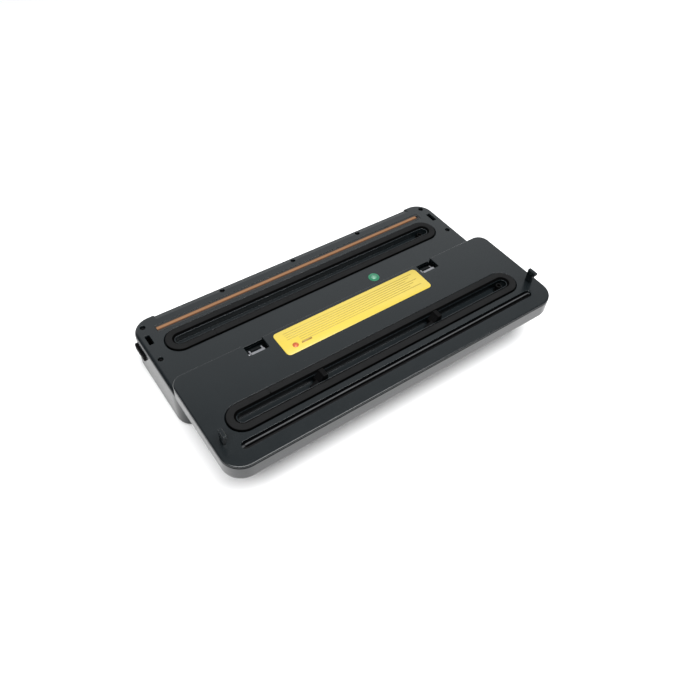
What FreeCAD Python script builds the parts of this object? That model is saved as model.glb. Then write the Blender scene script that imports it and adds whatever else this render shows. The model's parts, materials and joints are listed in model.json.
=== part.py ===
import FreeCAD, Part
import math
import os
from FreeCAD import Vector

# Vacuum sealer, opened out flat: the lid lies turned right over behind the base.
# Millimetres. +X runs along the machine, +Y towards the base's front edge, +Z up.
# The origin is under the hinge axis, on the surface that the feet stand on.

os.makedirs("parts", exist_ok=True)

# ---- driving dimensions -------------------------------------------------------
LID_HALF = 185.0            # half the lid's length
BASE_HALF = 184.0           # half the base's length
REACH = 105.6               # hinge axis to the front edge, lid and base alike
BASE_REAR = -7.0            # base's rear wall
LID_REAR = 7.75             # lid's rear edge, past the hinge axis
FEET_Z = 2.0                # feet stand this far below the lower housing
SPLIT_Z = 35.8              # parting plane of the base's two casings
DECK_Z = 44.0               # top of the base deck
STRIP_Z = 42.0              # lowered rear strip that the open lid lies over
PIVOT_Z = 54.0              # hinge axis, at y = 0
CLOSED_GAP = 1.3            # deck to lid face with the lid shut
LID_THICK = 20.2            # lid, inner face to outer face
WALL = 2.5                  # casing walls
PLATE = 2.8                 # deck and lid panel plates
FRONT_R = 19.7              # front corners in plan
BASE_REAR_R = 16.0          # base's rear corners in plan
LID_REAR_R = 11.8           # lid's rear corners in plan
SEAL_Y = 61.5               # centre line of trough and gasket, from the axis
SEAL_HALF_X = 164.0         # half length of the gasket, outside
FOAM_OUT = 14.3             # gasket's outer half width
FOAM_IN = 5.9               # gasket's inner half width
FOAM_SEAT = 3.0             # depth of the gasket's groove
FOAM_PROUD = 2.2            # how far the relaxed foam stands out of its groove
FOAM_GAP = 1.3              # open gap round the gasket, in its groove
TROUGH_HALF = 4.9           # half width of the vacuum trough
TROUGH_DEEP = 8.0           # depth of the vacuum trough
HEAT_Y = 85.3               # centre line of the heat strip
PRESS_Y = 86.8              # centre line of the lid's press strip
SLOT_X = 175.0              # centre of a latch slot
SLOT_Y = (69.4, 82.4)       # a latch slot's two ends
SLOT_HALF = 2.5             # half width of a latch slot
HOOK_TALL = 15.0            # latch hook above the lid's face
STOP_TALL = 4.5             # bag stop above the lid's face
BUTTON_Y = 78.75            # centre of a release button
HINGE_X = (91.0, 112.2)     # a hinge cut-out's two sides
PIN_R = 2.0                 # hinge pin
FIT = 0.05                  # running clearance on a radius
KEY_TRAVEL = 0.6            # how far a control button goes in

# ---- worked out ---------------------------------------------------------------
LID_FACE = 2 * PIVOT_Z - DECK_Z - CLOSED_GAP
LID_BACK = LID_FACE - LID_THICK
LID_SPLIT = LID_FACE - 2.5
SHADOW_GAP = 1.0            # height of the groove between the lid's two casings
HINGE_MID = (HINGE_X[0] + HINGE_X[1]) / 2
SIDES = (("left", -1), ("right", 1))


# ---- small helpers ------------------------------------------------------------
def box(x0, x1, y0, y1, z0, z1):
    low = Vector(min(x0, x1), min(y0, y1), min(z0, z1))
    return Part.makeBox(abs(x1 - x0), abs(y1 - y0), abs(z1 - z0), low)


def rod(r, p0, p1):
    """A round bar from one point to another."""
    a = Vector(*p0)
    b = Vector(*p1)
    return Part.makeCylinder(r, (b - a).Length, a, b - a)


def ring(r_out, r_in, p0, p1):
    return rod(r_out, p0, p1).cut(rod(r_in, p0, p1))


def fuse(shapes):
    return shapes[0].multiFuse(shapes[1:]).removeSplitter()


def cut(shape, tools):
    return shape.cut(Part.makeCompound(tools))


def flip(shape, side):
    """The shape as drawn for the right end (side 1), or its mirror image (side -1)."""
    if side > 0:
        return shape
    return shape.mirror(Vector(0, 0, 0), Vector(1, 0, 0))


def save(name, *solids):
    """Write one node: a single solid, or a group of separate ones."""
    shape = solids[0] if len(solids) == 1 else Part.makeCompound(list(solids))
    shape.exportStep("parts/" + name + ".step")


def plan(half, y0, y1, z0, z1, r0, r1):
    """A plate with corner radius r0 at its y0 side and r1 at its y1 side."""
    corners = [(-half, y0, r0, 1, 1), (half, y0, r0, -1, 1), (half, y1, r1, -1, -1), (-half, y1, r1, 1, -1)]
    edges = []
    last = None
    first = None
    for index, (x, y, r, sx, sy) in enumerate(corners):
        along_x = Vector(x + sx * r, y, z0)
        along_y = Vector(x, y + sy * r, z0)
        start, end = (along_y, along_x) if index % 2 == 0 else (along_x, along_y)
        lean = r * (1 - math.sqrt(0.5))
        middle = Vector(x + sx * lean, y + sy * lean, z0)
        if last is not None:
            edges.append(Part.LineSegment(last, start).toShape())
        edges.append(Part.Arc(start, middle, end).toShape())
        first = first or start
        last = end
    edges.append(Part.LineSegment(last, first).toShape())
    face = Part.Face(Part.Wire(edges))
    return face.extrude(Vector(0, 0, z1 - z0))


def stadium(half_x, half_w, y, z0, z1):
    """A bar along X with half-round ends."""
    straight = half_x - half_w
    ends = [rod(half_w, (x, y, z0), (x, y, z1)) for x in (-straight, straight)]
    return fuse([box(-straight, straight, y - half_w, y + half_w, z0, z1)] + ends)


def track(y, z0, z1, outer, inner):
    """A ring that follows the seal line, between two half widths."""
    big = stadium(SEAL_HALF_X + outer - FOAM_OUT, outer, y, z0, z1)
    return big.cut(stadium(SEAL_HALF_X + inner - FOAM_OUT, inner, y, z0, z1))


def seal_bar(y, z0, z1, half_w):
    """A solid bar that follows the seal line."""
    return stadium(SEAL_HALF_X + half_w - FOAM_OUT, half_w, y, z0, z1)


def prism_x(points, x0, x1):
    """A closed outline in Y and Z, drawn out along X."""
    corners = [Vector(x0, y, z) for y, z in points]
    wire = Part.makePolygon(corners + corners[:1])
    return Part.Face(wire).extrude(Vector(x1 - x0, 0, 0))


def prism_y(points, y0, y1):
    """A closed outline in X and Z, drawn out along Y."""
    corners = [Vector(x, y0, z) for x, z in points]
    wire = Part.makePolygon(corners + corners[:1])
    return Part.Face(wire).extrude(Vector(0, y1 - y0, 0))


def edges_at(shape, z):
    """The edges that lie flat at one height."""
    def flat(edge):
        return abs(edge.BoundBox.ZMin - z) < 1e-4 and abs(edge.BoundBox.ZMax - z) < 1e-4
    return [edge for edge in shape.Edges if flat(edge)]


def round_pipe(points, radii, r_out, r_in):
    """A hose along straight runs that tangent arcs join."""
    spots = [Vector(*p) for p in points]
    edges = []
    last = spots[0]
    for before, corner, after, r in zip(spots, spots[1:], spots[2:], radii):
        u = (before - corner).normalize()
        v = (after - corner).normalize()
        half = u.getAngle(v) / 2
        back = r / math.tan(half)
        centre = corner + (u + v).normalize() * (r / math.sin(half))
        start = corner + u * back
        end = corner + v * back
        middle = centre + (corner - centre).normalize() * r
        edges.append(Part.LineSegment(last, start).toShape())
        edges.append(Part.Arc(start, middle, end).toShape())
        last = end
    edges.append(Part.LineSegment(last, spots[-1]).toShape())
    path = Part.Wire(edges)

    def tube(radius):
        circle = Part.makeCircle(radius, spots[0], spots[1] - spots[0])
        return path.makePipeShell([Part.Wire(circle)], True, True)
    return tube(r_out).cut(tube(r_in)) if r_in else tube(r_out)


# ---- base casings -------------------------------------------------------------
DECK_SCREWS = [(x, 93.7) for x in (-173.8, 173.8)] + [(x, 48.4) for x in (-176.1, 176.1)]
DECK_SCREWS += [(x, 98.2) for x in (-85.2, 0.0, 85.2)]
STRIP_SCREWS = [(x, 3.0) for x in (-166.0, 166.0)]
SCREW_R = 1.5
SCREW_HEAD_R = 2.4
SCREW_TOP = DECK_Z - 2.4            # top of a sunk screw head
BOSS_R = 3.6
KEYS = (("vacuum_seal_button", -37.0), ("seal_button", -13.0), ("mode_button", 13.0), ("stop_button", 37.0))
KEY_HALF = (7.0, 4.0)               # half size of a control button, along X and Z
KEY_Z = 21.0
LENS_X = [x for _, x in KEYS]
LENS_Z = 29.2
LENS_R = 1.3
INLET_X = 150.0
INLET_Z = 17.0
FEET = [(x, y) for x in (-160.0, 160.0) for y in (9.0, 91.0)]
FOOT_R = 7.0


def screw(x, y, top, length):
    """A cross-head screw, standing upright."""
    head = rod(SCREW_HEAD_R, (x, y, top - 1.8), (x, y, top))
    shank = rod(SCREW_R - FIT, (x, y, top - length), (x, y, top - 1.8))
    slots = [box(x - 1.5, x + 1.5, y - 0.3, y + 0.3, top - 0.9, top + 1)]
    slots.append(box(x - 0.3, x + 0.3, y - 1.5, y + 1.5, top - 0.9, top + 1))
    return cut(fuse([head, shank]), slots)


def screw_top(y):
    """Height of a screw head: the rear strip is lower than the deck."""
    return SCREW_TOP if y > 10 else STRIP_Z - 0.4


def base_deck():
    body = plan(BASE_HALF, BASE_REAR, REACH, SPLIT_Z + 0.2, DECK_Z, BASE_REAR_R, FRONT_R)
    body = body.makeFillet(3.5, edges_at(body, DECK_Z))
    hollow = plan(BASE_HALF - WALL, BASE_REAR + WALL, REACH - WALL, SPLIT_Z, DECK_Z - PLATE,
                  BASE_REAR_R - WALL, FRONT_R - WALL)
    hollow = cut(hollow, [box(-200, 200, -20, 8, STRIP_Z - PLATE, DECK_Z)])
    body = body.cut(hollow)
    # The bag's rest in front slopes down between the two end blocks.
    slope = prism_x([(97.7, DECK_Z + 1), (97.7, DECK_Z), (103.2, DECK_Z - 1.5), (REACH, DECK_Z - 3.9),
                     (REACH + 3, DECK_Z - 3.9), (REACH + 3, DECK_Z + 1)], -158.0, 158.0)
    strip = box(-200, 200, -20, 0, STRIP_Z, DECK_Z + 1)
    sweep = rod(PIVOT_Z - STRIP_Z, (-200, 0, PIVOT_Z), (200, 0, PIVOT_Z))
    body = cut(body, [slope, strip.fuse(sweep)])
    # What hangs under the plate: the trough's bowl, the heater's pocket and the screw bosses.
    extra = [seal_bar(SEAL_Y, DECK_Z - TROUGH_DEEP - 2.4, DECK_Z - 2, FOAM_OUT + 2.8)]
    extra.append(box(-166, 166, HEAT_Y - 6.6, HEAT_Y + 6.6, DECK_Z - 7.5, DECK_Z - 2))
    for _, side in SIDES:
        extra.append(box(side * (WELL_X[0] - 1.2), side * (WELL_X[1] + 1.2), BASE_REAR + 2, WELL_Y + 1.2,
                         WELL_Z - 1.2, STRIP_Z - 1))
    for x, y in DECK_SCREWS + STRIP_SCREWS:
        extra.append(rod(4.2, (x, y, SPLIT_Z + 0.6), (x, y, STRIP_Z - 0.5)))
    body = fuse([body] + extra)
    # Gasket groove, trough, heater pocket, latch slots and screw holes.
    tools = [track(SEAL_Y, DECK_Z - FOAM_SEAT, DECK_Z + 1, FOAM_OUT + FOAM_GAP, TROUGH_HALF + 0.8)]
    tools.append(seal_bar(SEAL_Y, DECK_Z - 0.4, DECK_Z + 1, FOAM_IN + 1))
    tools.append(seal_bar(SEAL_Y, DECK_Z - TROUGH_DEEP, DECK_Z + 1, TROUGH_HALF))
    tools.append(box(-163.6, 163.6, HEAT_Y - 4.6, HEAT_Y + 4.6, DECK_Z - 5, DECK_Z + 1))
    for x in (-SLOT_X, SLOT_X):
        tools.append(box(x - SLOT_HALF, x + SLOT_HALF, SLOT_Y[0], SLOT_Y[1], SPLIT_Z, DECK_Z + 1))
    for x, y in DECK_SCREWS + STRIP_SCREWS:
        top = screw_top(y)
        tools.append(rod(SCREW_HEAD_R + 0.4, (x, y, top - 1.8), (x, y, DECK_Z + 1)))
        tools.append(rod(SCREW_R + 0.15, (x, y, SPLIT_Z), (x, y, top)))
    for x in (-161.0, 161.0):
        tools.append(rod(TERMINAL_R + FIT, (x, HEAT_Y, SPLIT_Z), (x, HEAT_Y, DECK_Z)))
    tools.append(rod(PORT_R + FIT, (PORT_X, SEAL_Y, 30), (PORT_X, SEAL_Y, DECK_Z)))
    body = cut(body, tools)
    # Hinge lugs: a barrel round each pin, on a web that stands in a well.
    for _, side in SIDES:
        x0 = side * (HINGE_MID - LUG_HALF)
        x1 = side * (HINGE_MID + LUG_HALF)
        well = box(side * WELL_X[0], side * WELL_X[1], BASE_REAR + 3.2, WELL_Y, WELL_Z, DECK_Z + 1)
        body = body.cut(well)
        web = box(x0, x1, -WEB_HALF, WEB_HALF, WELL_Z - 0.5, PIVOT_Z)
        barrel = rod(LUG_R, (min(x0, x1), 0, PIVOT_Z), (max(x0, x1), 0, PIVOT_Z))
        bore = rod(PIN_R, (min(x0, x1) - 1, 0, PIVOT_Z), (max(x0, x1) + 1, 0, PIVOT_Z))
        body = body.fuse(web.fuse(barrel)).cut(bore)
    return body.removeSplitter()


def base_lower_housing():
    body = plan(BASE_HALF, BASE_REAR, REACH, FEET_Z, SPLIT_Z, BASE_REAR_R, FRONT_R)
    body = body.makeFillet(2.5, edges_at(body, FEET_Z))
    floor = FEET_Z + WALL
    hollow = plan(BASE_HALF - WALL, BASE_REAR + WALL, REACH - WALL, floor, SPLIT_Z + 1,
                  BASE_REAR_R - WALL, FRONT_R - WALL)
    body = body.cut(hollow)
    extra = [rod(BOSS_R, (x, y, floor - 1), (x, y, SPLIT_Z + 0.4)) for x, y in DECK_SCREWS + STRIP_SCREWS]
    # Posts that the latch springs push against.
    for side in (-1, 1):
        extra.append(box(side * 169.4, side * 167.0, BUTTON_Y - 4, BUTTON_Y + 4, floor - 1, SPRING_Z + 3))
    # Standoffs under the power board and the pump bracket's feet.
    for x in (-92.0, -52.0):
        extra.append(rod(2.5, (x, 12, floor - 1), (x, 12, BOARD_Z)))
        extra.append(rod(2.5, (x, 38, floor - 1), (x, 38, BOARD_Z)))
    body = fuse([body] + extra)
    tools = []
    for x, y in DECK_SCREWS + STRIP_SCREWS:
        tools.append(rod(SCREW_R, (x, y, 12), (x, y, SPLIT_Z + 1)))
    for side in (-1, 1):
        y0 = BUTTON_Y - BUTTON_HALF - 0.35
        y1 = BUTTON_Y + BUTTON_HALF + 0.35
        tools.append(box(side * 179, side * 190, y0, y1, BUTTON_Z[0] - 0.35, BUTTON_Z[1] + 0.35))
    for x, y in FEET:
        tools.append(rod(FOOT_R + 0.1, (x, y, FEET_Z - 1), (x, y, FEET_Z + 1)))
    tools.append(box(INLET_X - 11.2, INLET_X + 11.2, -10, 0, INLET_Z - 7.2, INLET_Z + 7.2))
    # Recess for the control fascia, with the buttons' and lenses' holes behind it.
    tools.append(box(-62, 62, REACH - 1.2, REACH + 1, 11.5, 32.5))
    for _, x in KEYS:
        tools.append(box(x - KEY_HALF[0] - 0.35, x + KEY_HALF[0] + 0.35, 95, REACH, KEY_Z - KEY_HALF[1] - 0.35,
                         KEY_Z + KEY_HALF[1] + 0.35))
    for x in LENS_X:
        tools.append(rod(LENS_R + FIT, (x, 95, LENS_Z), (x, REACH, LENS_Z)))
    # Cooling slots through the floor under the transformer and the motor.
    for x in (-146, -140, -134, -128, -122, -116, -30, -24, -18, -12):
        tools.append(box(x - 1, x + 1, 14, 34, FEET_Z - 1, floor + 1))
    return cut(body, tools)


def rubber_feet():
    return [rod(FOOT_R, (x, y, 0), (x, y, FEET_Z + 1)) for x, y in FEET]


# ---- sealing parts ------------------------------------------------------------
TERMINAL_R = 1.5
PORT_X = 146.0
PORT_R = 3.0


def gasket(y, face):
    low, high = face - FOAM_SEAT, face + FOAM_PROUD
    return track(y, low, high, FOAM_OUT, FOAM_IN)


def heater_bar():
    bar = box(-163.3, 163.3, HEAT_Y - 4.3, HEAT_Y + 4.3, DECK_Z - 5, DECK_Z - 0.1)
    tools = [box(-160, 160, HEAT_Y - 1.25, HEAT_Y + 1.25, DECK_Z - 0.35, DECK_Z)]
    for x in (-161.0, 161.0):
        tools.append(rod(TERMINAL_R + FIT, (x, HEAT_Y, DECK_Z - 6), (x, HEAT_Y, DECK_Z)))
    return cut(bar, tools)


def heating_element():
    return box(-159.2, 159.2, HEAT_Y - 1.2, HEAT_Y + 1.2, DECK_Z - 0.35, DECK_Z - 0.1)


def heater_tape():
    return box(-163.0, 159.6, HEAT_Y - 2.3, HEAT_Y + 2.3, DECK_Z - 0.1, DECK_Z + 0.4)


def heater_terminals():
    posts = []
    for x in (-161.0, 161.0):
        post = rod(TERMINAL_R, (x, HEAT_Y, SPLIT_Z - 3), (x, HEAT_Y, DECK_Z - 3.6))
        nut = rod(2.8, (x, HEAT_Y, SPLIT_Z - 1.6), (x, HEAT_Y, SPLIT_Z + 0.4))
        posts.append(post.fuse(nut))
    return posts


def vacuum_port():
    """A nozzle that stands in the trough and takes the hose below it."""
    floor = DECK_Z - TROUGH_DEEP
    pipe = rod(PORT_R, (PORT_X, SEAL_Y, floor - 9), (PORT_X, SEAL_Y, floor + 5))
    collar = rod(PORT_R + 1.2, (PORT_X, SEAL_Y, floor), (PORT_X, SEAL_Y, floor + 1.2))
    bore = rod(PORT_R - 1.2, (PORT_X, SEAL_Y, floor - 10), (PORT_X, SEAL_Y, floor + 6))
    return pipe.fuse(collar).cut(bore)


# ---- latches ------------------------------------------------------------------
BUTTON_HALF = 9.85                  # half length of a release button
BUTTON_Z = (26.6, 33.6)
BUTTON_PROUD = 2.5
SPRING_Z = 26.4
CATCH_Z = (36.4, 38.8)
SPRING_R = 2.2
SPRING_WIRE = 0.3


def release_button():
    """The right button: a ribbed cap on a plate that rides in the wall's window."""
    face = BASE_HALF + BUTTON_PROUD
    cap = box(181.0, face, BUTTON_Y - BUTTON_HALF, BUTTON_Y + BUTTON_HALF, *BUTTON_Z)
    cap = cap.makeFillet(1.0, [e for e in cap.Edges if e.BoundBox.XMin > face - 0.1])
    grooves = []
    for index in range(-3, 4):
        y = BUTTON_Y + 2.6 * index
        grooves.append(box(face - 0.7, face + 1, y - 0.5, y + 0.5, BUTTON_Z[0] - 1, BUTTON_Z[1] + 1))
    return cut(cap, grooves)


def latch_catch():
    """The right catch: a back plate behind the button, and a frame round the hook's way."""
    plate = box(179.9, 181.0, 66.6, 85.4, SPRING_Z - 3.4, CATCH_Z[1])
    rails = [box(170.0, 181.0, y0, y1, *CATCH_Z) for y0, y1 in ((66.6, 68.6), (83.4, 85.4))]
    nose = box(170.0, 172.4, 66.6, 85.4, *CATCH_Z)
    stub = rod(1.4, (178.4, BUTTON_Y, SPRING_Z), (180.5, BUTTON_Y, SPRING_Z))
    return fuse([plate] + rails + [nose, stub])


def latch_spring():
    """The right spring: separate close-set turns, drawn as rings on one back strip."""
    x0, x1 = 169.5, 179.8
    turns = 7
    gap = (x1 - x0 - 2 * SPRING_WIRE) / (turns - 1)
    rings = [Part.makeTorus(SPRING_R, SPRING_WIRE, Vector(x0 + SPRING_WIRE + gap * n, BUTTON_Y, SPRING_Z),
                            Vector(1, 0, 0)) for n in range(turns)]
    strip = rod(SPRING_WIRE * 0.8, (x0 + 0.3, BUTTON_Y, SPRING_Z - SPRING_R),
                (x1 - 0.3, BUTTON_Y, SPRING_Z - SPRING_R))
    return fuse([strip] + rings)


def latch_hook():
    """The right hook, standing on the open lid's face. Its barb points to the middle."""
    tip = LID_FACE + HOOK_TALL
    near, far = -70.4, -80.7
    stem = prism_x([(near, LID_FACE - 2.0), (near, tip - 0.6), (near - 0.6, tip), (far + 0.6, tip),
                    (far, tip - 0.6), (far, tip - 2.6), (far + 3.4, tip - 6.0), (far + 3.4, LID_FACE - 2.0)],
                   174.2, 176.7)
    barb = prism_y([(174.3, tip), (173.3, tip - 0.8), (172.9, tip - 4.0), (174.3, tip - 5.0)], far + 0.6, near - 0.6)
    return fuse([stem, barb])


# ---- hinge --------------------------------------------------------------------
LUG_HALF = 5.0                      # half width of a hinge lug
LUG_R = 4.2                         # barrel round the pin
WEB_HALF = 2.4                      # half thickness of the lug's web
WELL_X = (80.0, 122.0)              # the deck's well round a lug
WELL_Y = 19.2                       # the well's front wall
WELL_Z = 37.2                       # the well's floor
EAR_IN = 5.6                        # bracket ear's inner face, from the lug's middle
EAR_T = 1.4
BRACKET_Y = -4.5                    # inner face of the bracket's back
NOTCH_Y = -7.3                      # hinge cut-out's end wall
BACK_TOP = PIVOT_Z + 6.0            # top of the bracket's back and of its flange
EAR_R = 4.0


def hinge_pin(side):
    x = side * HINGE_MID
    reach = EAR_IN + EAR_T + 1.2
    pin = rod(PIN_R, (x - reach, 0, PIVOT_Z), (x + reach, 0, PIVOT_Z))
    return pin


def hinge_bracket(side):
    """A U of steel: a back screwed to the lid and two ears that turn on the pin."""
    x = side * HINGE_MID
    ears = []
    for s in (-1, 1):
        x0 = x + s * EAR_IN
        x1 = x + s * (EAR_IN + EAR_T)
        tab = box(x0, x1, BRACKET_Y - EAR_T, 0, PIVOT_Z - EAR_R, PIVOT_Z + EAR_R)
        eye = rod(EAR_R, (min(x0, x1), 0, PIVOT_Z), (max(x0, x1), 0, PIVOT_Z))
        ears.append(tab.fuse(eye))
    half = EAR_IN + EAR_T
    back = box(x - half, x + half, BRACKET_Y - EAR_T, BRACKET_Y, PIVOT_Z - EAR_R, BACK_TOP)
    flange = box(x - half, x + half, BRACKET_Y - EAR_T, -2.8, BACK_TOP - 1.0, BACK_TOP)
    spacers = [rod(2.4, (x + dx, NOTCH_Y, PIVOT_Z), (x + dx, BRACKET_Y - 0.5, PIVOT_Z)) for dx in (-3.2, 3.2)]
    body = fuse([back, flange] + ears + spacers)
    tools = [rod(PIN_R + FIT, (x - 10, 0, PIVOT_Z), (x + 10, 0, PIVOT_Z))]
    for dx in (-3.2, 3.2):
        tools.append(rod(1.2, (x + dx, -10, PIVOT_Z), (x + dx, 0, PIVOT_Z)))
        tools.append(rod(1.9, (x + dx, BRACKET_Y - 0.6, PIVOT_Z), (x + dx, 0, PIVOT_Z)))
    return cut(body, tools)


def bracket_screws():
    solids = []
    for _, side in SIDES:
        for dx in (-3.2, 3.2):
            x = side * HINGE_MID + dx
            head = rod(1.9, (x, BRACKET_Y - 0.6, PIVOT_Z), (x, BRACKET_Y, PIVOT_Z))
            shank = rod(1.15, (x, NOTCH_Y - 6, PIVOT_Z), (x, BRACKET_Y - 0.3, PIVOT_Z))
            solids.append(head.fuse(shank))
    return solids


# ---- lid ----------------------------------------------------------------------
LID_SCREWS = [(x, y) for x in (-150.0, 150.0) for y in (-14.0, -98.2)] + [(0.0, -98.2)]
LABEL_X = (-82.7, 87.0)
LABEL_Y = (-26.6, 3.3)


def notch_tools(grow):
    """The two hinge cut-outs, open at the lid's rear edge, made larger by grow."""
    low = NOTCH_Y - grow
    return [box(s * (HINGE_X[0] - grow), s * (HINGE_X[1] + grow), low, 30, 0, 90) for s in (-1, 1)]


def lid_profile():
    """Side view of the lid: its rear edge is rounded so that it clears the deck as it turns."""
    r = LID_REAR
    arc_z = LID_BACK + r
    top_r = 1.6
    p = [Vector(-190, -130, LID_BACK), Vector(-190, 0, LID_BACK), Vector(-190, r, arc_z),
         Vector(-190, r, LID_FACE - top_r), Vector(-190, r - top_r, LID_FACE), Vector(-190, -130, LID_FACE)]
    lower = Part.Arc(p[1], Vector(-190, r * math.sin(math.pi / 4), arc_z - r * math.cos(math.pi / 4)), p[2])
    lean = top_r * (1 - math.sqrt(0.5))
    upper = Part.Arc(p[3], Vector(-190, r - lean, LID_FACE - lean), p[4])
    edges = [Part.LineSegment(p[0], p[1]), lower, Part.LineSegment(p[2], p[3]), upper,
             Part.LineSegment(p[4], p[5]), Part.LineSegment(p[5], p[0])]
    wire = Part.Wire([e.toShape() for e in edges])
    return Part.Face(wire).extrude(Vector(380, 0, 0))


def lid_outer_cover():
    body = plan(LID_HALF, -REACH, LID_REAR, LID_BACK, LID_SPLIT, FRONT_R, LID_REAR_R)
    body = body.makeFillet(4.0, edges_at(body, LID_BACK))
    body = body.common(lid_profile())
    inner = plan(LID_HALF - WALL, -REACH + WALL, -0.5, LID_BACK + WALL, LID_SPLIT + 1,
                 FRONT_R - WALL, 6.0)
    inner = cut(inner, notch_tools(2.2))
    body = body.cut(inner)
    bosses = [rod(BOSS_R, (x, y, LID_BACK + 1), (x, y, LID_FACE - 4)) for x, y in LID_SCREWS]
    body = fuse([body] + bosses)
    tools = notch_tools(0)
    for x, y in LID_SCREWS:
        tools.append(rod(SCREW_R, (x, y, LID_BACK - 1), (x, y, LID_FACE)))
        tools.append(rod(SCREW_HEAD_R + 0.2, (x, y, LID_BACK - 1), (x, y, LID_BACK + 2.4)))
    for _, side in SIDES:
        for dx in (-3.2, 3.2):
            x = side * HINGE_MID + dx
            tools.append(rod(1.2, (x, NOTCH_Y - 3, PIVOT_Z), (x, 0, PIVOT_Z)))
    return cut(body, tools)


def lid_inner_panel():
    body = plan(LID_HALF, -REACH, LID_REAR, LID_SPLIT + SHADOW_GAP, LID_FACE, FRONT_R, LID_REAR_R)
    body = body.makeFillet(1.4, edges_at(body, LID_FACE))
    step = plan(LID_HALF - 1.5, -REACH + 1.5, LID_REAR - 1.5, LID_SPLIT + 0.1, LID_FACE - 0.5,
                FRONT_R - 1.5, LID_REAR_R - 1.5)
    body = body.fuse(step)
    groove_low = LID_FACE - 2.2
    extra = [seal_bar(-SEAL_Y, LID_FACE - TROUGH_DEEP - 2.0, LID_FACE - 2, FOAM_OUT + 2.8)]
    extra.append(box(-168, 168, -PRESS_Y - 7, -PRESS_Y + 7, LID_FACE - 5, LID_FACE - 2))
    # Spigots that the screws bite, one over each boss of the cover.
    for x, y in LID_SCREWS:
        extra.append(rod(BOSS_R, (x, y, LID_FACE - 3.8), (x, y, LID_FACE - 1)))
    body = fuse([body] + extra)
    tools = notch_tools(0)
    tools.append(track(-SEAL_Y, LID_FACE - FOAM_SEAT, LID_FACE + 1, FOAM_OUT + FOAM_GAP, TROUGH_HALF + 0.8))
    tools.append(seal_bar(-SEAL_Y, LID_FACE - 0.4, LID_FACE + 1, FOAM_IN + 1))
    tools.append(seal_bar(-SEAL_Y, LID_FACE - TROUGH_DEEP, LID_FACE + 1, TROUGH_HALF))
    tools.append(stadium(165.2, 4.1, -PRESS_Y, groove_low, LID_FACE + 1))
    for side in (-1, 1):
        tools.append(box(side * 174.1, side * 176.8, -70.3, -77.4, LID_SPLIT, LID_FACE + 1))
    for x, y in LID_SCREWS:
        tools.append(rod(SCREW_R, (x, y, LID_FACE - 6), (x, y, LID_FACE - 1.2)))
    tools.append(rod(PORT_R + FIT, (PORT_X, -SEAL_Y, 40), (PORT_X, -SEAL_Y, LID_FACE)))
    return cut(body, tools)


def lid_screws():
    solids = []
    for x, y in LID_SCREWS:
        head = rod(SCREW_HEAD_R, (x, y, LID_BACK + 0.6), (x, y, LID_BACK + 2.4))
        shank = rod(SCREW_R - FIT, (x, y, LID_BACK + 2.4), (x, y, LID_FACE - 1.4))
        slots = [box(x - 1.5, x + 1.5, y - 0.3, y + 0.3, LID_BACK, LID_BACK + 1.5)]
        slots.append(box(x - 0.3, x + 0.3, y - 1.5, y + 1.5, LID_BACK, LID_BACK + 1.5))
        solids.append(cut(fuse([head, shank]), slots))
    return solids


def press_strip():
    """A silicone rib on a flat foot, in the lid's groove."""
    rib = stadium(162.8, 1.9, -PRESS_Y, LID_FACE - 2.0, LID_FACE + 0.6)
    rib = rib.makeFillet(1.2, edges_at(rib, LID_FACE + 0.6))
    return rib.fuse(stadium(164.9, 3.9, -PRESS_Y, LID_FACE - 2.2, LID_FACE - 1.5))


def lid_stiffener():
    """A folded steel angle behind the press strip."""
    top = LID_FACE - 5.0
    flat = box(-160, 160, -PRESS_Y - 5, -PRESS_Y + 3, top - 1.2, top)
    leg = box(-160, 160, -PRESS_Y + 1.8, -PRESS_Y + 3, top - 8, top)
    return fuse([flat, leg])


def bag_stop(x):
    """A plate that stands across the trough, propped on its -X side, with a leg along the trough."""
    floor = LID_FACE - TROUGH_DEEP
    top = LID_FACE + STOP_TALL
    near, far = -SEAL_Y - 4.2, -SEAL_Y + 4.6
    plate = box(x, x + 4.6, near, far, floor, top)
    plate = plate.makeFillet(0.8, [e for e in plate.Edges if e.BoundBox.ZMin > top - 0.1 and e.BoundBox.XMax > x + 1])
    prop = prism_y([(x + 0.5, top - 0.2), (x + 0.5, floor), (x - 5.5, floor), (x - 5.5, LID_FACE - 2.5)],
                   near + 0.2, far - 0.2)
    leg = prism_y([(x - 5.0, LID_FACE - 0.5), (x - 5.0, floor), (x - 12.5, floor), (x - 12.5, LID_FACE - 4.5)],
                  near + 0.2, near + 3.6)
    return fuse([plate, prop, leg])


def lid_suction_port():
    floor = LID_FACE - TROUGH_DEEP
    pipe = rod(PORT_R, (PORT_X, -SEAL_Y, floor - 4), (PORT_X, -SEAL_Y, floor + 7))
    collar = rod(PORT_R + 1.2, (PORT_X, -SEAL_Y, floor), (PORT_X, -SEAL_Y, floor + 1.2))
    bore = rod(PORT_R - 1.2, (PORT_X, -SEAL_Y, floor - 2), (PORT_X, -SEAL_Y, floor + 8))
    return pipe.fuse(collar).cut(bore)


def rear_label():
    mid = (LABEL_X[0] + LABEL_X[1]) / 2
    half = (LABEL_X[1] - LABEL_X[0]) / 2
    label = plan(half, LABEL_Y[0], LABEL_Y[1], LID_FACE, LID_FACE + 0.3, 4.0, 4.0)
    label.translate(Vector(mid, 0, 0))
    return label


# ---- controls -----------------------------------------------------------------
FASCIA_Y = REACH - 1.2
CONTROL_BOARD_Y = 92.0


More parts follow.
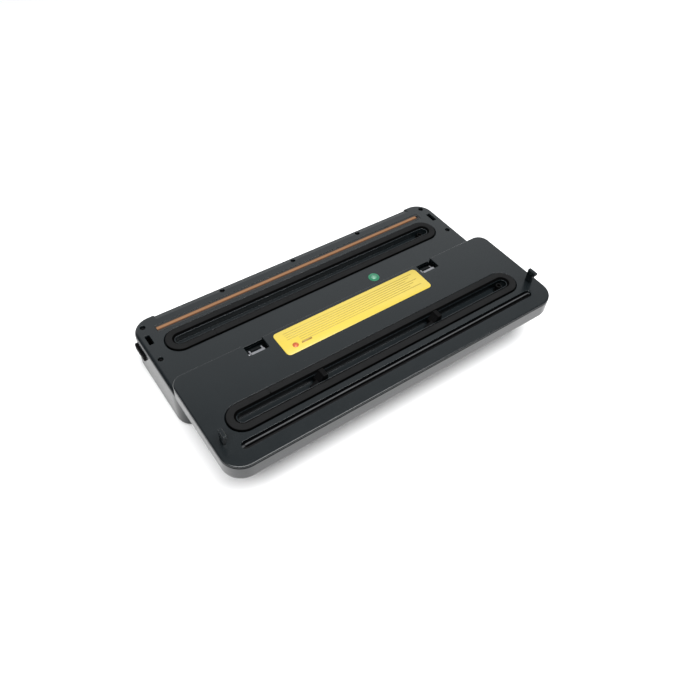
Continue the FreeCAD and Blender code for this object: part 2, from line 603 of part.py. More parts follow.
def control_fascia():
    plate = box(-61.8, 61.8, FASCIA_Y, REACH - 0.1, 11.7, 32.3)
    plate = plate.makeFillet(2.0, [e for e in plate.Edges if e.BoundBox.YLength > 1 and e.BoundBox.XLength < 0.1])
    tools = []
    for _, x in KEYS:
        tools.append(box(x - KEY_HALF[0] - 0.35, x + KEY_HALF[0] + 0.35, 95, REACH + 1,
                         KEY_Z - KEY_HALF[1] - 0.35, KEY_Z + KEY_HALF[1] + 0.35))
    for x in LENS_X:
        tools.append(rod(LENS_R + FIT, (x, 95, LENS_Z), (x, REACH + 1, LENS_Z)))
    return cut(plate, tools)


def control_button(x):
    """A key with a flange behind the wall and a stem that reaches its switch."""
    cap = box(x - KEY_HALF[0], x + KEY_HALF[0], 102.4, REACH - 0.05, KEY_Z - KEY_HALF[1], KEY_Z + KEY_HALF[1])
    cap = cap.makeFillet(0.5, [e for e in cap.Edges if e.BoundBox.YMin > REACH - 0.1])
    flange = box(x - KEY_HALF[0] - 1.5, x + KEY_HALF[0] + 1.5, 101.2, 102.9, KEY_Z - KEY_HALF[1] - 1.5,
                 KEY_Z + KEY_HALF[1] + 1.5)
    stem = rod(1.6, (x, SWITCH_TIP + KEY_TRAVEL + 0.1, KEY_Z), (x, 101.5, KEY_Z))
    return fuse([cap, flange, stem])


SWITCH_TIP = CONTROL_BOARD_Y + 5.2


def tact_switches():
    solids = []
    for _, x in KEYS:
        case = box(x - 3, x + 3, CONTROL_BOARD_Y, CONTROL_BOARD_Y + 3.6, KEY_Z - 3, KEY_Z + 3)
        tip = rod(1.7, (x, CONTROL_BOARD_Y + 3, KEY_Z), (x, SWITCH_TIP, KEY_Z))
        solids.append(case.fuse(tip))
    return solids


def control_board():
    return box(-58, 58, CONTROL_BOARD_Y - 1.6, CONTROL_BOARD_Y, 8.0, 33.0)


def indicator_lenses():
    """Light guides from the board to the fascia, one beside each button."""
    return [rod(LENS_R, (x, CONTROL_BOARD_Y + 0.1, LENS_Z), (x, REACH - 0.05, LENS_Z)) for x in LENS_X]


# ---- vacuum and power parts ----------------------------------------------------
MOTOR_Y = 22.0
MOTOR_Z = 20.0
SHAFT_R = 1.2
CRANK_OFFSET = 2.0
BOARD_Z = 9.0
HOSE_R = 3.0


def on_motor(x0, x1, r):
    return rod(r, (x0, MOTOR_Y, MOTOR_Z), (x1, MOTOR_Y, MOTOR_Z))


def motor_can():
    can = on_motor(-42, -10, 12.0)
    tools = [on_motor(-41, -11, 11.0), on_motor(-50, 0, 3.0)]
    return cut(can, tools)


def motor_bushes():
    return [on_motor(x0, x1, 3.0).cut(on_motor(x0 - 1, x1 + 1, SHAFT_R + FIT))
            for x0, x1 in ((-42, -39), (-13, -10))]


def motor_rotor():
    shaft = on_motor(-43, 3.5, SHAFT_R)
    core = on_motor(-36, -16, 8.5)
    slots = []
    for n in range(5):
        a = 2 * math.pi * n / 5
        y = MOTOR_Y + 8.5 * math.cos(a)
        z = MOTOR_Z + 8.5 * math.sin(a)
        slots.append(rod(1.6, (-37, y, z), (-15, y, z)))
    return fuse([cut(core, slots), shaft])


def crank_disc():
    disc = on_motor(-1, 3, 4.5).cut(on_motor(-2, 4, SHAFT_R))
    pin = rod(1.0, (2.5, MOTOR_Y + CRANK_OFFSET, MOTOR_Z), (7, MOTOR_Y + CRANK_OFFSET, MOTOR_Z))
    return disc.fuse(pin).cut(on_motor(-2, 3.5, SHAFT_R))


def pump_crankcase():
    case = box(-9.5, 14, MOTOR_Y - 13, MOTOR_Y + 13, MOTOR_Z - 12, MOTOR_Z + 11)
    tools = [box(-7.5, 12, MOTOR_Y - 11, MOTOR_Y + 14, MOTOR_Z - 10, MOTOR_Z + 9)]
    tools.append(on_motor(-12, 0, 3.2))
    return cut(case, tools)


def pump_diaphragm():
    """A rubber disc on a yoke that stands clear of the crank pin's circle."""
    disc = rod(7.0, (4.7, MOTOR_Y + 10.5, MOTOR_Z), (4.7, MOTOR_Y + 12.9, MOTOR_Z))
    rod_y = rod(1.6, (4.7, MOTOR_Y + 4.6, MOTOR_Z), (4.7, MOTOR_Y + 11, MOTOR_Z))
    yoke = ring(5.2, 3.5, (4.0, MOTOR_Y, MOTOR_Z), (6.6, MOTOR_Y, MOTOR_Z))
    return fuse([disc, rod_y, yoke])


def pump_head():
    y0 = MOTOR_Y + 13
    block = box(-9.5, 14, y0, y0 + 7, MOTOR_Z - 12, MOTOR_Z + 11)
    nozzles = [rod(PORT_R, (x, y0 + 6, MOTOR_Z), (x, y0 + 14, MOTOR_Z)) for x in (-4.0, 8.5)]
    body = fuse([block] + nozzles)
    bores = [rod(PORT_R - 1.2, (x, y0 + 2, MOTOR_Z), (x, y0 + 15, MOTOR_Z)) for x in (-4.0, 8.5)]
    return cut(body, bores)


def pump_bracket():
    """A steel saddle under the motor, on four rubber grommets."""
    base = box(-44, -12, MOTOR_Y - 16, MOTOR_Y + 16, 6.6, 7.8)
    strap = ring(13.2, 12.0, (-32, MOTOR_Y, MOTOR_Z), (-22, MOTOR_Y, MOTOR_Z))
    holes = [rod(2.0, (x, y, 5), (x, y, 9)) for x in (-41, -15) for y in (MOTOR_Y - 13, MOTOR_Y + 13)]
    return cut(fuse([base, strap]), holes)


def pump_grommets():
    solids = []
    for x in (-41, -15):
        for y in (MOTOR_Y - 13, MOTOR_Y + 13):
            foot = rod(3.2, (x, y, FEET_Z + WALL), (x, y, 6.6))
            neck = rod(2.0, (x, y, 6.6), (x, y, 7.8))
            cap = rod(3.0, (x, y, 7.8), (x, y, 8.8))
            solids.append(fuse([foot, neck, cap]))
    return solids


def vacuum_hose():
    """A silicone hose from the pump's inlet nozzle to the trough's port."""
    start = (8.5, MOTOR_Y + 20.4, MOTOR_Z)
    end = (PORT_X, SEAL_Y, DECK_Z - TROUGH_DEEP - 3.0)
    points = [start, (8.5, 68.0, MOTOR_Z), (74.0, 72.0, 14.0), (PORT_X, SEAL_Y, 10.0), end]
    return round_pipe(points, [18.0, 90.0, 13.0], PORT_R + 1.6, PORT_R + FIT)


def release_valve():
    """A solenoid valve beside the hose, on a steel frame."""
    coil = rod(8.0, (49, 26, 16), (73, 26, 16))
    frame = box(48, 74, 16, 36, 6, 7.2)
    ends = [box(x, x + 1.2, 17, 35, 6, 26) for x in (48, 72.8)]
    nozzle = rod(2.0, (74, 26, 16), (82, 26, 16))
    return fuse([coil, frame, nozzle] + ends)


def vacuum_switch():
    body = rod(9.0, (100, 26, 8), (100, 26, 14))
    neck = rod(5.0, (100, 26, 14), (100, 26, 20))
    blades = [box(98 + s, 98.8 + s, 24, 28, 19, 25) for s in (-2.5, 3.7)]
    return fuse([body, neck] + blades)


def transformer_core():
    core = box(-152, -108, 6, 44, 5.5, 35)
    windows = [box(x, x + 9, 5, 45, 13.5, 27) for x in (-144, -125)]
    return cut(core, windows)


def transformer_coil():
    """The winding round the core's middle leg."""
    bobbin = box(-143.6, -116.4, 1, 49, 13.9, 26.6)
    return bobbin.cut(box(-135.2, -124.8, 5.8, 44.2, 13, 28))


def power_board():
    board = box(-98, -46, 6, 44, BOARD_Z, BOARD_Z + 1.6)
    return board


def power_components():
    top = BOARD_Z + 1.6
    solids = [rod(5.0, (-90, 16, top), (-90, 16, top + 16)), rod(5.0, (-90, 30, top), (-90, 30, top + 16))]
    solids.append(box(-80, -64, 12, 28, top, top + 15))
    solids.append(box(-60, -50, 10, 40, top, top + 12))
    solids.append(rod(3.0, (-74, 36, top), (-74, 36, top + 11)))
    return solids


def latch_microswitches():
    solids = []
    for side in (-1, 1):
        solids.append(box(side * 172.0, side * 178.0, 67, 81, 10, 17))
        solids.append(box(side * 174.5, side * 175.5, 70, 80.5, 17, 19.4))
    return [solids[0].fuse(solids[1]), solids[2].fuse(solids[3])]


def power_inlet():
    """A two-pin mains inlet in the rear wall: a figure-of-eight mouth in a square flange."""
    x, z = INLET_X, INLET_Z
    shell = box(x - 11, x + 11, -6.9, 12, z - 7, z + 7)
    mouth = fuse([rod(4.4, (x - 3.9, -8, z), (x - 3.9, 4.5, z)), rod(4.4, (x + 3.9, -8, z), (x + 3.9, 4.5, z)),
                  box(x - 3.9, x + 3.9, -8, 4.5, z - 4.0, z + 4.0)])
    holes = [rod(1.2 + FIT, (x + s * 4.3, 0, z), (x + s * 4.3, 20, z)) for s in (-1, 1)]
    return cut(shell, [mouth] + holes)


def inlet_pins():
    return [rod(1.2, (INLET_X + s * 4.3, -4.0, INLET_Z), (INLET_X + s * 4.3, 16, INLET_Z)) for s in (-1, 1)]


def wiring():
    """Insulated leads to the heater's two terminals, and from the inlet to the board."""
    z = SPLIT_Z - 5.5
    leads = []
    left = [(-99.0, 40.0, 12.0), (-104.0, 48.0, 8.0), (-130.0, 56.0, 7.0), (-158.0, 70.0, 8.0),
            (-161.0, HEAT_Y, 14.0), (-161.0, HEAT_Y, z)]
    leads.append(round_pipe(left, [6.0, 20.0, 12.0, 9.0], 1.2, 0))
    right = [(-45.0, 38.0, 12.0), (-36.0, 46.0, 8.0), (20.0, 80.0, 7.0), (110.0, 84.0, 7.0),
             (161.0, HEAT_Y, 9.0), (161.0, HEAT_Y, z)]
    leads.append(round_pipe(right, [6.0, 30.0, 40.0, 9.0], 1.2, 0))
    return leads


def round_sticker():
    x, y = 58.0, 30.5
    return rod(5.9, (x, y, DECK_Z), (x, y, DECK_Z + 0.2))


# ---- write every node -----------------------------------------------------------
save("base_lower_housing", base_lower_housing())
save("base_deck", base_deck())
save("base_gasket", gasket(SEAL_Y, DECK_Z))
save("heater_bar", heater_bar())
save("heating_element", heating_element())
save("heater_tape", heater_tape())
save("heater_terminals", *heater_terminals())
save("deck_screws", *[screw(x, y, screw_top(y), 20.0) for x, y in DECK_SCREWS + STRIP_SCREWS])
save("rubber_feet", *rubber_feet())
save("round_sticker", round_sticker())
save("vacuum_port", vacuum_port())

for name, side in SIDES:
    save(name + "_release_button", flip(release_button(), side))
    save(name + "_latch_catch", flip(latch_catch(), side))
    save(name + "_latch_spring", flip(latch_spring(), side))
    save(name + "_latch_hook", flip(latch_hook(), side))
    save(name + "_hinge_pin", hinge_pin(side))
save("latch_microswitches", *latch_microswitches())

save("hinge_brackets", *[hinge_bracket(side) for _, side in SIDES])
save("hinge_bracket_screws", *bracket_screws())
save("lid_outer_cover", lid_outer_cover())
save("lid_inner_panel", lid_inner_panel())
save("lid_gasket", gasket(-SEAL_Y, LID_FACE))
save("press_strip", press_strip())
save("lid_stiffener", lid_stiffener())
save("bag_stops", bag_stop(-71.0), bag_stop(61.0))
save("lid_suction_port", lid_suction_port())
save("lid_screws", *lid_screws())
save("rear_label", rear_label())

save("control_fascia", control_fascia())
for name, x in KEYS:
    save(name, control_button(x))
save("indicator_lenses", *indicator_lenses())
save("control_board", control_board())
save("tact_switches", *tact_switches())

save("motor_can", motor_can())
save("motor_bushes", *motor_bushes())
save("motor_rotor", motor_rotor())
save("crank_disc", crank_disc())
save("pump_crankcase", pump_crankcase())
save("pump_diaphragm", pump_diaphragm())
save("pump_head", pump_head())
save("pump_bracket", pump_bracket())
save("pump_grommets", *pump_grommets())
save("vacuum_hose", vacuum_hose())
save("release_valve", release_valve())
save("vacuum_switch", vacuum_switch())
save("transformer_core", transformer_core())
save("transformer_coil", transformer_coil())
save("power_board", power_board())
save("power_components", *power_components())
save("power_inlet", power_inlet())
save("inlet_pins", *inlet_pins())
save("wiring", *wiring())
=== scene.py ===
import json
import math

import bpy
from mathutils import Matrix, Vector, noise


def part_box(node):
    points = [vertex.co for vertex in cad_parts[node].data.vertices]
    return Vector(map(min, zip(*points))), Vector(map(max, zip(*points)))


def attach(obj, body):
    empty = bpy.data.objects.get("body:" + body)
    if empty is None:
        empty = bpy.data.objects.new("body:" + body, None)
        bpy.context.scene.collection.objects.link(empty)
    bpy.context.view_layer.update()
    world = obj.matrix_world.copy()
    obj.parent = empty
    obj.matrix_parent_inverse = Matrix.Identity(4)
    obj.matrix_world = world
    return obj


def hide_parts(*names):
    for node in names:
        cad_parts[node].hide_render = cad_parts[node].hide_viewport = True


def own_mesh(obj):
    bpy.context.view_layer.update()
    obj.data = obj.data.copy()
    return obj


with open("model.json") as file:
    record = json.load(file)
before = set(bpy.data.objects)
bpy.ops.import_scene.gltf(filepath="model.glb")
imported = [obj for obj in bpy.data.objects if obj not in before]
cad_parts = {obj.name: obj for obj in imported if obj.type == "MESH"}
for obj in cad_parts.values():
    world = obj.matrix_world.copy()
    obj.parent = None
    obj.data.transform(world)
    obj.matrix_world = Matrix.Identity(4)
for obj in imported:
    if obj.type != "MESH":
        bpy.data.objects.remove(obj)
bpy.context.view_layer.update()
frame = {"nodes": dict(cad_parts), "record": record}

# The looks of a slim vacuum sealer, opened out flat. Metres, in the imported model's frame:
# +X along the machine, +Y towards the base's front edge, +Z up.
MM = 0.001
nodes = frame["nodes"]


# ---- camera, light and floor ----------------------------------------------------
CAMERA_AT = Vector((-284.1, -363.1, 531.6)) * MM
CAMERA_YAW = math.radians(52.472)       # of the view direction, from +X towards +Y
CAMERA_PITCH = math.radians(48.618)     # below the horizon
CAMERA_ROLL = math.radians(3.531)
CAMERA_LENS = 35.66
WALL_YAW = math.radians(68.0)            # the way to the lit wall, from +X towards +Y
ROOM_LEVEL = 0.06
WALL_LEVEL = 1.06
WALL_BY_HEIGHT = ((0.0, 0.35), (0.35, 1.0))     # (rise of the direction, share of the light)
WALL_BY_FACING = ((0.50, 0.0), (0.70, 1.0))     # (cosine from the wall's middle, share)
LIGHT_AT = Vector((-0.28, -0.55, 1.7))
LIGHT_AIM = Vector((-0.28, -0.2, 0.0))
LIGHT_SIZE = (2.6, 1.2)
LIGHT_POWER = 87.0
FLOOR_HALF = 4.0


def make_camera():
    """The photo's camera, turned by its yaw, pitch and roll."""
    data = bpy.data.cameras.new("camera")
    data.lens = CAMERA_LENS
    data.sensor_width = 36.0
    data.clip_start = 0.01
    data.clip_end = 50.0
    camera = bpy.data.objects.new("camera", data)
    bpy.context.scene.collection.objects.link(camera)
    cy, sy = math.cos(CAMERA_YAW), math.sin(CAMERA_YAW)
    cp, sp = math.cos(CAMERA_PITCH), math.sin(CAMERA_PITCH)
    cr, sr = math.cos(CAMERA_ROLL), math.sin(CAMERA_ROLL)
    forward = Vector((cy * cp, sy * cp, -sp))
    level = Vector((sy, -cy, 0.0))
    up = level.cross(forward)
    right = cr * level + sr * up
    top = cr * up - sr * level
    turn = Matrix((right, top, -forward)).transposed().to_4x4()
    camera.matrix_world = Matrix.Translation(CAMERA_AT) @ turn
    bpy.context.scene.camera = camera


def make_light():
    """One wide soft box overhead, a little towards the camera."""
    data = bpy.data.lights.new("overhead", "AREA")
    data.shape = "RECTANGLE"
    data.size, data.size_y = LIGHT_SIZE
    data.energy = LIGHT_POWER
    light = bpy.data.objects.new("overhead", data)
    bpy.context.scene.collection.objects.link(light)
    light.location = LIGHT_AT
    light.rotation_mode = "QUATERNION"
    light.rotation_quaternion = (LIGHT_AIM - LIGHT_AT).to_track_quat("-Z", "Y")


def make_world():
    """A dim studio with one lit white wall beyond the machine."""
    world = bpy.data.worlds.new("studio")
    bpy.context.scene.world = world
    world.use_nodes = True
    tree = world.node_tree
    tree.nodes.clear()

    def add(kind, **settings):
        node = tree.nodes.new(kind)
        for key, value in settings.items():
            setattr(node, key, value)
        return node

    def ramp(value, points):
        """A grey level that runs through (place, level) points."""
        node = add("ShaderNodeValToRGB")
        node.color_ramp.interpolation = "EASE"
        while len(node.color_ramp.elements) < len(points):
            node.color_ramp.elements.new(0.5)
        for element, (place, level) in zip(node.color_ramp.elements, points):
            element.position = place
            element.color = (level, level, level, 1.0)
        tree.links.new(value, node.inputs["Fac"])
        return node.outputs["Color"]

    coord = add("ShaderNodeTexCoord").outputs["Generated"]
    split = add("ShaderNodeSeparateXYZ")
    tree.links.new(coord, split.inputs[0])
    towards = add("ShaderNodeVectorMath", operation="DOT_PRODUCT")
    tree.links.new(coord, towards.inputs[0])
    towards.inputs[1].default_value = (math.cos(WALL_YAW), math.sin(WALL_YAW), 0.0)
    height = ramp(split.outputs["Z"], WALL_BY_HEIGHT)
    facing = ramp(towards.outputs["Value"], WALL_BY_FACING)
    wall = add("ShaderNodeMath", operation="MULTIPLY")
    tree.links.new(height, wall.inputs[0])
    tree.links.new(facing, wall.inputs[1])
    level = add("ShaderNodeMapRange")
    level.inputs["To Min"].default_value = ROOM_LEVEL
    level.inputs["To Max"].default_value = WALL_LEVEL
    tree.links.new(wall.outputs[0], level.inputs["Value"])
    back = add("ShaderNodeBackground")
    back.inputs["Color"].default_value = (0.97, 1.0, 1.02, 1.0)
    tree.links.new(level.outputs[0], back.inputs["Strength"])
    out = add("ShaderNodeOutputWorld")
    tree.links.new(back.outputs[0], out.inputs["Surface"])


def make_floor():
    """A sheet of white paper under the machine."""
    mesh = bpy.data.meshes.new("floor")
    corners = [(x * FLOOR_HALF, y * FLOOR_HALF, 0) for x, y in ((-1, -1), (1, -1), (1, 1), (-1, 1))]
    mesh.from_pydata(corners, [], [(0, 1, 2, 3)])
    floor = bpy.data.objects.new("floor", mesh)
    bpy.context.scene.collection.objects.link(floor)
    paper = Graph("floor_paper")
    paper.shader.inputs["Roughness"].default_value = 0.9
    paper.shader.inputs["Specular IOR Level"].default_value = 0.1
    paper.tint(paper.noise(3.0, detail=2.0), (0.90, 0.90, 0.905), (0.93, 0.93, 0.93))
    mesh.materials.append(paper.material)


# ---- materials --------------------------------------------------------------------
class Graph:
    """A material's node tree, with short calls that add and link its nodes.
    Scales of noise and cells are per metre, and bump depths are in metres."""

    def __init__(self, name):
        self.material = bpy.data.materials.new(name)
        self.material.use_nodes = True
        self.tree = self.material.node_tree
        self.tree.nodes.clear()
        self.shader = self.add("ShaderNodeBsdfPrincipled")
        out = self.add("ShaderNodeOutputMaterial")
        self.link(self.shader.outputs[0], out.inputs["Surface"])
        self.place = self.add("ShaderNodeTexCoord").outputs["Object"]

    def add(self, kind, **settings):
        node = self.tree.nodes.new(kind)
        for key, value in settings.items():
            setattr(node, key, value)
        return node

    def link(self, source, target):
        self.tree.links.new(source, target)

    def feed(self, socket, value):
        """A number is set on the socket, and anything else is linked to it."""
        if isinstance(value, (int, float)):
            socket.default_value = value
        else:
            self.link(value, socket)

    def math(self, operation, a, b=0.0, clamp=False):
        node = self.add("ShaderNodeMath", operation=operation, use_clamp=clamp)
        self.feed(node.inputs[0], a)
        self.feed(node.inputs[1], b)
        return node.outputs[0]

    def axes(self):
        """The piece's own X, Y and Z, each as an output."""
        node = self.add("ShaderNodeSeparateXYZ")
        self.link(self.place, node.inputs[0])
        return node.outputs

    def stretched(self, x=1.0, y=1.0, z=1.0):
        """The piece's own coordinates, scaled along each axis."""
        node = self.add("ShaderNodeMapping")
        node.inputs["Scale"].default_value = (x, y, z)
        self.link(self.place, node.inputs["Vector"])
        return node.outputs[0]

    def noise(self, scale, detail=4.0, rough=0.5, where=None):
        node = self.add("ShaderNodeTexNoise")
        node.inputs["Scale"].default_value = scale
        node.inputs["Detail"].default_value = detail
        node.inputs["Roughness"].default_value = rough
        self.link(where or self.place, node.inputs["Vector"])
        return node.outputs["Fac"]

    def cells(self, scale, feature="F1"):
        node = self.add("ShaderNodeTexVoronoi", feature=feature)
        node.inputs["Scale"].default_value = scale
        self.link(self.place, node.inputs["Vector"])
        return node.outputs["Distance"]

    def blend(self, factor, a, b):
        """Colour a at factor 0 and b at 1; each is a colour or an output."""
        node = self.add("ShaderNodeMix", data_type="RGBA")
        self.feed(node.inputs["Factor"], factor)
        for socket, value in ((node.inputs[6], a), (node.inputs[7], b)):
            if isinstance(value, tuple):
                socket.default_value = (*value, 1.0)
            else:
                self.link(value, socket)
        return node.outputs[2]

    def tint(self, factor, a, b):
        """The base colour: a at factor 0 and b at 1."""
        self.link(self.blend(factor, a, b), self.shader.inputs["Base Color"])

    def spread(self, value, low, high):
        """Maps 0..1 to low..high."""
        node = self.add("ShaderNodeMapRange")
        node.inputs["To Min"].default_value = low
        node.inputs["To Max"].default_value = high
        self.link(value, node.inputs["Value"])
        return node.outputs[0]

    def step(self, value, start, end):
        """0 below start, 1 above end and a smooth rise between."""
        node = self.add("ShaderNodeMapRange", interpolation_type="SMOOTHSTEP")
        node.inputs["From Min"].default_value = start
        node.inputs["From Max"].default_value = end
        self.link(value, node.inputs["Value"])
        return node.outputs[0]

    def rounded(self, radius):
        """Edges shaded as if rounded to this radius, and a mask that is 1 on them."""
        bevel = self.add("ShaderNodeBevel", samples=6)
        bevel.inputs["Radius"].default_value = radius
        true = self.add("ShaderNodeNewGeometry").outputs["Normal"]
        dot = self.add("ShaderNodeVectorMath", operation="DOT_PRODUCT")
        self.link(bevel.outputs[0], dot.inputs[0])
        self.link(true, dot.inputs[1])
        mask = self.step(self.math("SUBTRACT", 1.0, dot.outputs["Value"]), 0.02, 0.22)
        return bevel.outputs[0], mask

    def sunk(self, reach):
        """A mask from ambient occlusion that falls to 0 where the surface sits deep in a crevice,
        where shade gets painted.
        """
        hollow = self.add("ShaderNodeAmbientOcclusion", samples=6)
        hollow.inputs["Distance"].default_value = reach
        return self.step(hollow.outputs["AO"], 0.30, 0.85)

    def inside(self, low, high):
        """1 within a box, given for the right half and mirrored to the left; 0 outside it."""
        axes = self.axes()
        mask = 1.0
        for axis, a, b in zip("XYZ", low, high):
            value = axes[axis]
            if axis == "X":
                value = self.math("ABSOLUTE", value)
            off = self.math("ABSOLUTE", self.math("SUBTRACT", value, (a + b) / 2 * MM))
            mask = self.math("MULTIPLY", mask, self.math("LESS_THAN", off, (b - a) / 2 * MM))
        return mask

    def out_of_painted_shade(self, reach, shaded):
        """A mask for painted shade: 0 deep in a crevice and in each of the shaded boxes, and 1
        elsewhere.
        """
        mask = self.sunk(reach)
        for low, high in shaded:
            mask = self.math("MULTIPLY", mask, self.math("SUBTRACT", 1.0, self.inside(low, high)))
        return mask

    def bump(self, height, depth, strength=1.0, normal=None):
        node = self.add("ShaderNodeBump")
        node.inputs["Strength"].default_value = strength
        node.inputs["Distance"].default_value = depth
        self.link(height, node.inputs["Height"])
        if normal is not None:
            self.link(normal, node.inputs["Normal"])
        self.link(node.outputs[0], self.shader.inputs["Normal"])


def scaled(colour, factor):
    """A colour times a factor, held at 1."""
    return tuple(min(1.0, c * factor) for c in colour)


def plastic(name, colour, rough, grain=0.35, depth=0.012, wear_and_highlight=1.6, shine=0.5, painted_shade_boxes=()):
    """Moulded plastic: spark-eroded grain, faint flow marks, edges lightened to a given factor
    times the colour, partly as wear and partly as a painted highlight, and painted shade, dull and
    dark, in crevices. The boxes passed in, in millimetres, get the same painted shade."""
    g = Graph(name)
    normal, rim = g.rounded(0.5 * MM)
    # Painted shade: crevices and the given boxes get a darker colour and a duller gloss.
    out_of_shade = g.out_of_painted_shade(2.5 * MM, painted_shade_boxes)
    g.link(g.spread(out_of_shade, 0.05, shine), g.shader.inputs["Specular IOR Level"])
    flow = g.noise(28.0, detail=5.0, rough=0.6)
    moulded = g.blend(flow, scaled(colour, 0.86), scaled(colour, 1.14))
    base = g.blend(out_of_shade, scaled(colour, 0.4), moulded)
    # Rims lightened: partly wear, partly a painted highlight.
    scuffs_and_highlight = g.math("MULTIPLY", rim, g.spread(g.noise(160.0, detail=3.0), 0.2, 1.0))
    g.tint(scuffs_and_highlight, base, scaled(colour, wear_and_highlight))
    smears = g.noise(70.0, detail=6.0, rough=0.7)
    g.link(g.spread(smears, rough - 0.05, rough + 0.07), g.shader.inputs["Roughness"])
    g.bump(g.noise(1.0 / (grain * MM), detail=2.0), depth * MM, normal=normal)
    return g.material


def foam(name, colour):
    """Closed-cell foam: a skin of small cells with open pores here and there, and painted shade in
    its crevices and at its foot.
    """
    g = Graph(name)
    cells = g.cells(1.0 / (0.9 * MM))
    pores = g.step(g.cells(1.0 / (1.6 * MM), feature="SMOOTH_F1"), 0.08, 0.22)
    blotch = g.noise(90.0, detail=4.0)
    base = g.blend(blotch, scaled(colour, 0.75), scaled(colour, 1.25))
    # Painted shade, nearly black, in crevices and in the foam boxes.
    painted_shade_layer = g.out_of_painted_shade(3.5 * MM, FOAM_SHADE_BOXES)
    shaded = g.blend(painted_shade_layer, scaled(colour, 0.12), base)
    g.tint(pores, scaled(colour, 0.35), shaded)
    g.shader.inputs["Roughness"].default_value = 0.95
    g.link(g.spread(painted_shade_layer, 0.02, 0.15), g.shader.inputs["Specular IOR Level"])
    g.bump(g.math("MULTIPLY", cells, pores), 0.18 * MM, strength=0.8)
    return g.material


def rubber(name, colour, rough):
    """Matt rubber with a little dust on it."""
    g = Graph(name)
    g.tint(g.noise(60.0, detail=5.0, rough=0.65), scaled(colour, 0.8), scaled(colour, 1.25))
    g.link(g.spread(g.noise(120.0), rough - 0.08, rough + 0.08), g.shader.inputs["Roughness"])
    g.shader.inputs["Specular IOR Level"].default_value = 0.4
    g.bump(g.noise(2000.0, detail=3.0), 0.02 * MM)
    return g.material


def crowned_rubber(name, crown, below, middle):
    """Black rubber with a painted highlight, a paler grey, along its crown, and painted shade below
    it.
    """
    g = Graph(name)
    # Painted highlight along the crown; below it, painted shade.
    off = g.math("ABSOLUTE", g.math("SUBTRACT", g.axes()["Y"], middle))
    top = g.math("SUBTRACT", 1.0, g.step(off, 0.85 * MM, 1.15 * MM))
    dust = g.noise(60.0, detail=5.0, rough=0.65)
    lit_crown = g.blend(dust, scaled(crown, 0.8), scaled(crown, 1.2))
    g.tint(top, below, lit_crown)
    g.link(g.spread(top, 0.04, 0.5), g.shader.inputs["Specular IOR Level"])
    g.link(g.spread(g.noise(120.0), 0.32, 0.48), g.shader.inputs["Roughness"])
    g.bump(g.noise(2000.0, detail=3.0), 0.006 * MM)
    return g.material


def metal(name, colour, rough, along=(1.0, 1.0, 1.0)):
    """Drawn or pressed metal: fine lines along one axis, duller patches, and painted shade in
    crevices.
    """
    g = Graph(name)
    normal, rim = g.rounded(0.2 * MM)
    lines = g.noise(900.0, detail=3.0, where=g.stretched(*along))
    patches = g.noise(140.0, detail=5.0, rough=0.7)
    base = g.blend(patches, scaled(colour, 0.78), scaled(colour, 1.08))
    # Painted shade in crevices.
    painted_shade_layer = g.blend(g.sunk(3.0 * MM), scaled(colour, 0.12), base)
    g.tint(rim, painted_shade_layer, scaled(colour, 1.25))
    g.shader.inputs["Metallic"].default_value = 1.0
    g.link(g.spread(lines, rough - 0.08, rough + 0.12), g.shader.inputs["Roughness"])
    g.bump(lines, 0.01 * MM, normal=normal)
    return g.material


def glass_cloth(name, colour, edge_colour, middle, half_width):
    """Woven glass cloth soaked in non-stick resin; the resin is darker along both edges."""
    g = Graph(name)
    axes = g.axes()
    pitch = 2.0 * math.pi / (0.55 * MM)
    warp = g.math("SINE", g.math("MULTIPLY", axes["X"], pitch))
    weft = g.math("SINE", g.math("MULTIPLY", axes["Y"], pitch))
    weave = g.math("MULTIPLY", warp, weft)
    off = g.math("ABSOLUTE", g.math("SUBTRACT", axes["Y"], middle))
    wander = g.math("MULTIPLY", g.noise(45.0, detail=3.0), 0.5 * MM)
    rim = g.step(g.math("ADD", off, wander), half_width - 0.85 * MM, half_width - 0.15 * MM)
    streaks = g.noise(60.0, detail=5.0, where=g.stretched(0.35, 1.0, 1.0))
    base = g.blend(streaks, scaled(colour, 0.88), scaled(colour, 1.12))
    woven = g.blend(g.spread(weave, 0.0, 0.14), base, scaled(colour, 0.55))
    g.tint(rim, woven, edge_colour)
    g.shader.inputs["Roughness"].default_value = 0.42
    g.shader.inputs["Specular IOR Level"].default_value = 0.2
    g.bump(weave, 0.02 * MM)
    return g.material


def film(name, colour, rough=0.35):
    """Printed plastic film, with slight waves and a mottled ink."""
    g = Graph(name)
    mottle = g.noise(220.0, detail=3.0)
    g.tint(mottle, scaled(colour, 0.94), scaled(colour, 1.03))
    g.shader.inputs["Roughness"].default_value = rough
    g.bump(g.noise(40.0, detail=2.0), 0.08 * MM, strength=0.6)
    return g.material


def board(name, colour):
    """Green laminate with copper tracks showing through its mask."""
    g = Graph(name)
    tracks = g.step(g.cells(160.0, feature="DISTANCE_TO_EDGE"), 0.02, 0.05)
    base = g.blend(g.noise(300.0), scaled(colour, 0.85), scaled(colour, 1.15))
    g.tint(tracks, scaled(colour, 1.9), base)
    g.shader.inputs["Roughness"].default_value = 0.35
    g.bump(tracks, 0.03 * MM)
    return g.material


def winding(name, colour):
    """Enamelled wire, wound in even turns."""
    g = Graph(name)
    pitch = 2.0 * math.pi / (0.5 * MM)
    turns = g.math("SINE", g.math("MULTIPLY", g.axes()["Y"], pitch))
    # Darker between the turns: painted shade in the grooves between wires.
    g.tint(g.spread(turns, 0.0, 1.0), scaled(colour, 0.5), colour)
    g.shader.inputs["Metallic"].default_value = 0.7
    g.shader.inputs["Roughness"].default_value = 0.35
    g.bump(turns, 0.1 * MM)
    return g.material


